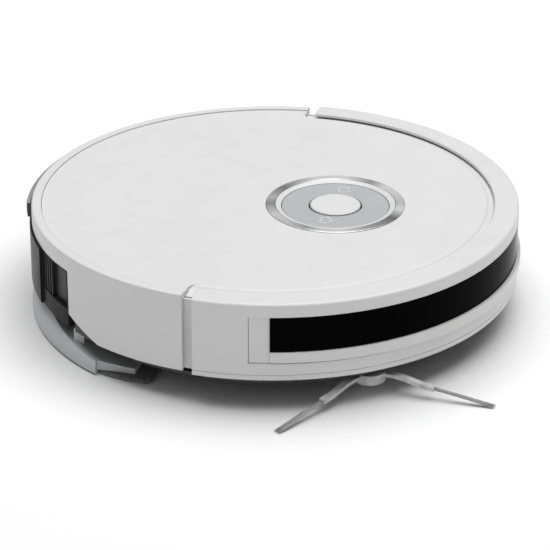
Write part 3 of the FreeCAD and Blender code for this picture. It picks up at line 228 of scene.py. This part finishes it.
def printed_board(name, mask, copper):
    """Circuit board: solder mask over faint tracks."""
    shader = Shader(name, mask, 0.35)
    tracks = shader.node("ShaderNodeTexBrick", Scale=160.0)
    tracks.inputs["Mortar Size"].default_value = 0.012
    tracks.inputs["Color1"].default_value = (*mask, 1.0)
    tracks.inputs["Color2"].default_value = (*shades(mask, 0.2)[0], 1.0)
    tracks.inputs["Mortar"].default_value = (*copper, 1.0)
    shader.link(shader.where(), tracks.inputs["Vector"])
    shader.link(tracks.outputs["Color"], shader.bsdf.inputs["Base Color"])
    shader.bump(tracks.outputs["Fac"], 0.2, 0.00005)
    return shader.material


key_low, key_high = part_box("power_button")
KEY_CENTRE = ((key_low.x + key_high.x) / 2, (key_low.y + key_high.y) / 2)

# Direction from the ring's middle in degrees, and how light the painted reflection on the spun metal is there
RING_PAINTED_REFLECTIONS = (
    (-180, 0.70), (-160, 0.78), (-139, 0.42), (-107, 0.17), (-89, 0.74), (-75, 0.55),
    (-37, 0.76), (-20, 0.36), (4, 0.78), (31, 0.76), (68, 0.22), (91, 0.50),
    (105, 0.28), (129, 0.66), (151, 0.58), (167, 0.38), (179, 0.68),
)

MATERIALS = {
    "white_plastic": moulded("white_plastic", (0.74, 0.74, 0.74), 0.38, edge=0.0009, drift=0.012),
    "panel_white": moulded("panel_white", (0.735, 0.735, 0.735), 0.45, depth=0.05, drift=0.006),
    "grey_key": moulded("grey_key", (0.47, 0.475, 0.485), 0.42, drift=0.015),
    "window_black": moulded(
        "window_black", (0.0006, 0.0006, 0.0007), 0.12, depth=0.02, Specular_IOR_Level=0.015,
    ),
    "bezel_black": moulded("bezel_black", (0.012, 0.012, 0.013), 0.4),
    "pan_dark": moulded("pan_dark", (0.045, 0.045, 0.048), 0.55, grain=1500.0, depth=0.3),
    # The ring's base colour holds painted reflections: light and dark sweeps by angle.
    "chrome_ring": turned("chrome_ring", 0.26, KEY_CENTRE, RING_PAINTED_REFLECTIONS, Metallic=0.3, Anisotropic=0.6),
    "bevel_white": moulded("bevel_white", (0.74, 0.74, 0.745), 0.32),
    "icon_grey": moulded("icon_grey", (0.70, 0.705, 0.71), 0.5, edge=0.0),
    "board_green": printed_board("board_green", (0.015, 0.12, 0.05), (0.10, 0.20, 0.08)),
    "component_dark": moulded("component_dark", (0.03, 0.03, 0.035), 0.5),
    "battery_wrap": moulded("battery_wrap", (0.02, 0.07, 0.25), 0.3, drift=0.08),
    "steel": drawn("steel", (0.55, 0.55, 0.56), 0.3, (1.0, 1.0, 0.06)),
    "spring_steel": drawn("spring_steel", (0.5, 0.5, 0.51), 0.28, (1.0, 0.1, 1.0)),
    "motor_steel": drawn("motor_steel", (0.52, 0.52, 0.54), 0.34, (0.1, 1.0, 1.0)),
    "gear_plastic": moulded("gear_plastic", (0.06, 0.06, 0.065), 0.5, grain=1800.0, depth=0.2),
    "tyre_rubber": rubber("tyre_rubber", (0.02, 0.02, 0.02), 0.78),
    "hub_grey": moulded("hub_grey", (0.16, 0.165, 0.175), 0.45, grain=1800.0, depth=0.2),
    "caster_white": moulded("caster_white", (0.70, 0.70, 0.69), 0.35),
    "brush_plastic": moulded("brush_plastic", (0.03, 0.03, 0.033), 0.42, grain=1800.0, depth=0.2),
    "bristle_dark": fibre("bristle_dark", (0.028, 0.028, 0.031), 0.6, 0.3),
    "side_rubber": rubber("side_rubber", (0.58, 0.58, 0.585), 0.5, grain=1600.0, depth=0.15),
    "side_bristle": fibre("side_bristle", (0.50, 0.50, 0.505), 0.5, 0.15, drift=0.12),
    "tank_smoke": moulded("tank_smoke", (0.026, 0.026, 0.028), 0.32, depth=0.04, IOR=1.12),
    "tank_inner": moulded("tank_inner", (0.07, 0.07, 0.075), 0.4),
    "vent_black": moulded("vent_black", (0.008, 0.008, 0.009), 0.5, grain=1800.0),
    "filter_paper": pleated("filter_paper", (0.72, 0.69, 0.61)),
    "flap_rubber": rubber("flap_rubber", (0.03, 0.03, 0.03), 0.7),
    "release_silver": moulded("release_silver", (0.44, 0.445, 0.455), 0.32, Metallic=0.5, depth=0.06),
    "mop_plate_grey": moulded("mop_plate_grey", (0.58, 0.585, 0.595), 0.45, grain=1500.0, depth=0.12),
    "mop_cloth_grey": fibre("mop_cloth_grey", (0.15, 0.15, 0.155), 0.95, 0.3, grain=420.0, drift=0.3),
    "lens_dark": moulded("lens_dark", (0.01, 0.01, 0.014), 0.08, depth=0.02, Coat_Weight=1.0),
    "contact_metal": drawn("contact_metal", (0.72, 0.58, 0.30), 0.28, (0.1, 1.0, 1.0)),
    "fan_grey": moulded("fan_grey", (0.10, 0.105, 0.11), 0.45),
    "speaker_black": moulded("speaker_black", (0.02, 0.02, 0.02), 0.6, grain=700.0, depth=0.6),
}
for part in frame["record"]["subparts"]:
    mesh = nodes[part["node"]].data
    mesh.materials.clear()
    mesh.materials.append(MATERIALS[part["material_slot"]])

# ---------------------------------------------------------------- mesh helpers


def piece(name, mesh, body, slot, *stands_for):
    """Put a finished mesh in the scene, riding on a body in place of CAD nodes."""
    mesh.materials.append(MATERIALS[slot])
    made = bpy.data.objects.new(name, mesh)
    bpy.context.scene.collection.objects.link(made)
    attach(made, body)
    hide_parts(*stands_for)
    return made


def meshed(name, points, faces):
    """A smooth mesh whose faces all look outwards."""
    mesh = bpy.data.meshes.new(name)
    mesh.from_pydata([tuple(p) for p in points], [], faces)
    built = bmesh.new()
    built.from_mesh(mesh)
    bmesh.ops.recalc_face_normals(built, faces=built.faces)
    built.to_mesh(mesh)
    built.free()
    mesh.shade_smooth()
    return mesh


FIBRE_SIDES = 3
# A direction that no fibre follows, which its cross-section is turned by
OFF_AXIS = Vector((0.31, 0.17, 0.93))


def add_fibre(points, faces, line, radii):
    """One closed thin fibre along a line of points, thick as radii say."""
    sides = FIBRE_SIDES
    start = len(points)
    for index, spot in enumerate(line):
        ahead = line[min(index + 1, len(line) - 1)] - line[max(index - 1, 0)]
        across = ahead.cross(OFF_AXIS).normalized()
        level = ahead.cross(across).normalized()
        for side in range(sides):
            angle = TAU * side / sides
            points.append(spot + (across * math.cos(angle) + level * math.sin(angle)) * radii[index])
    for index in range(len(line) - 1):
        for side in range(sides):
            low = start + index * sides
            after = (side + 1) % sides
            faces.append((low + side, low + after, low + sides + after, low + sides + side))
    last = start + (len(line) - 1) * sides
    faces.append(tuple(start + side for side in reversed(range(sides))))
    faces.append(tuple(last + side for side in range(sides)))


# ---------------------------------------------------------------- side brush bristles
joints = {joint["name"]: joint for joint in frame["joints"]}
SIDE_HUB = Vector(joints["side_brush_spin"]["pos_m"])
ARM_HEADINGS = (148.5, 268.5, 28.5)
SIDE_FIBRES = 70
# Lengths below are in millimetres. A bristle starts inside its arm's end and droops to the floor.
ARM_END = 43.6
ROOT_DEPTH = 1.6
SIDE_TIP = 83.4
# Distance from the hub's axis, and height above the floor
SIDE_LINE = (
    (ARM_END - ROOT_DEPTH, 8.0), (51.0, 6.7), (59.0, 5.4), (67.0, 4.0), (75.0, 2.5), (SIDE_TIP, 1.05),
)
# Half widths of a tuft where it leaves the arm and at its tip
ROOT_SPREAD = 1.5
TIP_SPREAD = 2.4
# How much of a tuft's height is gone at its tip
FLATTENED = 0.75
SIDE_TAPER = (1.0, 1.0, 1.0, 1.0, 0.9, 0.5)


def side_bristles():
    """Three tufts of nylon bristles that splay and droop to the floor."""
    draw = random.Random(11)
    points, faces = [], []
    for heading in ARM_HEADINGS:
        turn = Matrix.Rotation(math.radians(heading), 3, "Z")
        for _ in range(SIDE_FIBRES):
            root = draw.uniform(-1.0, 1.0)
            height = draw.uniform(-0.55, 0.55)
            splay = root * TIP_SPREAD + draw.uniform(-0.5, 0.5)
            reach = draw.uniform(0.93, 1.0)
            line = []
            for step, (out, z) in enumerate(SIDE_LINE):
                share = step / (len(SIDE_LINE) - 1)
                y = root * ROOT_SPREAD * (1 - share) + splay * share
                out = SIDE_LINE[0][0] + (out - SIDE_LINE[0][0]) * reach
                lift = z + height * (1 - FLATTENED * share)
                spot = turn @ Vector((out, y, 0.0)) * MM
                line.append(Vector((SIDE_HUB.x + spot.x, SIDE_HUB.y + spot.y, lift * MM)))
            thick = draw.uniform(0.12, 0.17) * MM
            add_fibre(points, faces, line, [thick * taper for taper in SIDE_TAPER])
    return meshed("side_bristle_tufts", points, faces)


piece("side_bristle_tufts", side_bristles(), "side_brush", "side_bristle", "side_brush_bristles")

# ---------------------------------------------------------------- main brush bristles
BRUSH_AXIS = Vector(joints["main_brush_spin"]["pos_m"])
ROW_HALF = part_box("brush_bristles")[1].x
CORE_R = 8.9 * MM
BRUSH_R = 18.2 * MM
ROW_PITCH = 220.0 * MM
RIB_SPOTS = (-45 * MM, -15 * MM, 15 * MM, 45 * MM)
RIB_GAP = 2.4 * MM
TUFT_STEP = 1.5 * MM
TUFT_FIBRES = 7
ROWS_PER_HALF = 3
# How far a bristle's root strays along the core, in millimetres
TUFT_STRAY = 0.6
TIP_TAPER = 0.6


def brush_rows():
    """Six rows of nylon bristles that wind around the core and meet as a V at its middle."""
    draw = random.Random(23)
    points, faces = [], []
    for half in (-1, 1):
        for row in range(ROWS_PER_HALF):
            for step in range(int((ROW_HALF - TUFT_STEP) / TUFT_STEP)):
                out = TUFT_STEP * (step + 1)
                if any(abs(half * out - rib) < RIB_GAP for rib in RIB_SPOTS):
                    continue
                angle = TAU * (row / ROWS_PER_HALF + out / ROW_PITCH)
                for _ in range(TUFT_FIBRES):
                    lean = angle + draw.uniform(-0.09, 0.09)
                    bend = draw.uniform(-0.05, 0.12)
                    along = half * out + draw.uniform(-TUFT_STRAY, TUFT_STRAY) * MM
                    line = []
                    for share in (0.0, 0.5, 1.0):
                        around = lean + bend * share * share
                        radius = CORE_R + (BRUSH_R - CORE_R) * share * draw.uniform(0.97, 1.0)
                        line.append(Vector((
                            along,
                            BRUSH_AXIS.y + math.cos(around) * radius,
                            BRUSH_AXIS.z + math.sin(around) * radius,
                        )))
                    thick = draw.uniform(0.13, 0.18) * MM
                    add_fibre(points, faces, line, [thick, thick, thick * TIP_TAPER])
    return meshed("brush_rows", points, faces)


piece("brush_rows", brush_rows(), "main_brush", "bristle_dark", "brush_bristles")

# ---------------------------------------------------------------- mop cloth
cloth_low, cloth_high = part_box("mop_cloth")
CLOTH_REAR_R = cloth_high.y
CLOTH_HALF = cloth_high.x
CLOTH_FRONT = cloth_low.y
CLOTH_TOP = cloth_high.z
CORNER_R = 9.0 * MM
CORNER_PULL = 0.7
LOOP = 2.1 * MM
HEM = 5.0 * MM
OUTLINE_POINTS = 720
LOOP_RINGS = 70
LOOP_FLOOR = 0.15 * MM
LOOP_RELIEF = 1.1 * MM
# Around the bound hem and over the back: share of the way out, and height in millimetres
HEM_PROFILE = (
    (0.972, 0.9), (0.976, 0.35), (0.985, 0.15), (0.993, 0.35), (0.9985, 0.9), (1.0, 1.6),
    (0.9985, 2.3), (0.993, 2.75), (0.985, 2.9), (0.6, 3.0), (0.01, 3.0),
)


def cloth_edge(angle):
    """Distance from the cloth's middle to its edge, in one direction: a disc with three straight sides."""
    dx, dy = math.cos(angle), math.sin(angle)
    middle = CLOTH_FRONT + (CLOTH_REAR_R - CLOTH_FRONT) / 2
    along = dy * middle
    reaches = [-along + math.sqrt(along * along + CLOTH_REAR_R ** 2 - middle ** 2)]
    if abs(dx) > 1e-6:
        reaches.append(CLOTH_HALF / abs(dx))
    if dy < -1e-6:
        reaches.append((middle - CLOTH_FRONT) / -dy)
    reaches.sort()
    # A smooth least value eases the corners where two sides meet
    softness = CORNER_R * 0.5
    near = reaches[0]
    if len(reaches) > 1:
        gap = reaches[1] - near
        near -= softness * math.exp(-gap / softness) * CORNER_PULL
    return middle, near


def cloth_mesh():
    """One cut of microfibre: loops below, a bound hem around, and a flat back against the plate."""
    points, faces = [], []
    area = 0.0
    outline = []
    for index in range(OUTLINE_POINTS):
        angle = TAU * index / OUTLINE_POINTS
        middle, reach = cloth_edge(angle)
        outline.append((math.cos(angle) * reach, middle + math.sin(angle) * reach))
    count = len(outline)
    for (x0, y0), (x1, y1) in zip(outline, outline[1:] + outline[:1]):
        area += (x0 * y1 - x1 * y0) / 2
    middle = outline[0][1]

    def ring(share, z, relief):
        start = len(points)
        for x, y in outline:
            spot = Vector((x * share, middle + (y - middle) * share, z))
            if relief:
                wave = noise.noise(Vector((spot.x, spot.y, 0.0)) / (LOOP * 0.5))
                tuft = noise.noise(Vector((spot.x + 0.5, spot.y, 0.02)) / (LOOP * 2.4))
                spot.z += relief * max(0.0, 0.55 + 0.55 * wave + 0.35 * tuft)
            points.append(spot)
        return start

    starts = []
    for step in range(LOOP_RINGS):
        share = (step + 1) / LOOP_RINGS * (1.0 - HEM / CLOTH_HALF)
        starts.append(ring(share, LOOP_FLOOR, LOOP_RELIEF))
    for share, z in HEM_PROFILE:
        starts.append(ring(share, min(z * MM, CLOTH_TOP), 0.0))
    for low, high in zip(starts, starts[1:]):
        for index in range(count):
            after = (index + 1) % count
            faces.append((low + index, low + after, high + after, high + index))
    for start in (starts[0], starts[-1]):
        hub = len(points)
        points.append(Vector((0.0, middle, points[start].z)))
        for index in range(count):
            faces.append((start + index, start + (index + 1) % count, hub))
    return meshed("mop_pad", points, faces), area


mop_mesh, mop_area = cloth_mesh()
mop_pad = piece("mop_pad", mop_mesh, "mop", "mop_cloth_grey", "mop_cloth")

# ---------------------------------------------------------------- eased edges on the CAD shells
# Width of the rounding, in millimetres
EASED = {
    "upper_shell": 0.5, "bumper_shell": 0.6, "bumper_lip": 0.5, "mop_plate": 1.2, "tank_body": 0.4,
    "caster_fork": 0.4, "brush_guard": 0.4, "window_bezel": 0.3, "bumper_trim": 0.4,
}
WELD_GAP = 0.01 * MM
SHARP_ANGLE = math.radians(40.0)
for name, width in EASED.items():
    weld = nodes[name].modifiers.new("weld", "WELD")
    weld.merge_threshold = WELD_GAP
    ease = nodes[name].modifiers.new("ease", "BEVEL")
    ease.width = width * MM
    ease.segments = 3
    ease.limit_method = "ANGLE"
    ease.angle_limit = SHARP_ANGLE
    ease.use_clamp_overlap = True
    even = nodes[name].modifiers.new("even", "WEIGHTED_NORMAL")
    even.keep_sharp = False

# ---------------------------------------------------------------- stage, light and camera
FLOOR_HALF = 6.0
floor_mesh = bpy.data.meshes.new("floor")
floor_mesh.from_pydata(
    [(-FLOOR_HALF, -FLOOR_HALF, 0.0), (FLOOR_HALF, -FLOOR_HALF, 0.0), (FLOOR_HALF, FLOOR_HALF, 0.0),
     (-FLOOR_HALF, FLOOR_HALF, 0.0)],
    [],
    [(0, 1, 2, 3)],
)
floor = bpy.data.objects.new("floor", floor_mesh)
floor_mesh.materials.append(Shader("floor_white", (0.97, 0.97, 0.97), 0.9, Specular_IOR_Level=0.1).material)
bpy.context.scene.collection.objects.link(floor)
bpy.context.scene.view_settings.view_transform = "Standard"

WORLD_LIGHT = 0.22
world = bpy.data.worlds.new("studio")
world.use_nodes = True
world.node_tree.nodes["Background"].inputs["Color"].default_value = (1.0, 1.0, 1.0, 1.0)
world.node_tree.nodes["Background"].inputs["Strength"].default_value = WORLD_LIGHT
bpy.context.scene.world = world


def soft_box(name, azimuth, elevation, distance, size, power):
    """A square area light that faces the object's middle."""
    a = math.radians(azimuth)
    e = math.radians(elevation)
    spot = Vector((math.sin(a) * math.cos(e), -math.cos(a) * math.cos(e), math.sin(e))) * distance
    data = bpy.data.lights.new(name, "AREA")
    data.shape = "SQUARE"
    data.size = size
    data.energy = power
    lamp = bpy.data.objects.new(name, data)
    lamp.location = spot
    lamp.rotation_euler = (-spot).to_track_quat("-Z", "Y").to_euler()
    bpy.context.scene.collection.objects.link(lamp)


soft_box("top_light", 60.0, 82.0, 2.4, 2.6, 68.0)

# The camera looks at a spot above the floor, at the photograph's angle. Distances are in metres.
AZIMUTH = math.radians(-75.0)
ELEVATION = math.radians(25.68)
DISTANCE = 1.8427
AIM_HEIGHT = 0.0225
SHIFT_RIGHT = 0.0016
SHIFT_UP = -0.0055
LENS = 174.8
SENSOR_WIDTH = 36.0
back = Vector((
    math.sin(AZIMUTH) * math.cos(ELEVATION),
    -math.cos(AZIMUTH) * math.cos(ELEVATION),
    math.sin(ELEVATION),
))
right = Vector((math.cos(AZIMUTH), math.sin(AZIMUTH), 0.0))
up = back.cross(right)
camera_data = bpy.data.cameras.new("camera")
camera_data.lens = LENS
camera_data.sensor_width = SENSOR_WIDTH
camera = bpy.data.objects.new("camera", camera_data)
turn = Matrix((right, up, back)).transposed().to_4x4()
camera.matrix_world = Matrix.Translation(
    Vector((0.0, 0.0, AIM_HEIGHT)) + back * DISTANCE + right * SHIFT_RIGHT + up * SHIFT_UP
) @ turn
bpy.context.scene.collection.objects.link(camera)
bpy.context.scene.camera = camera
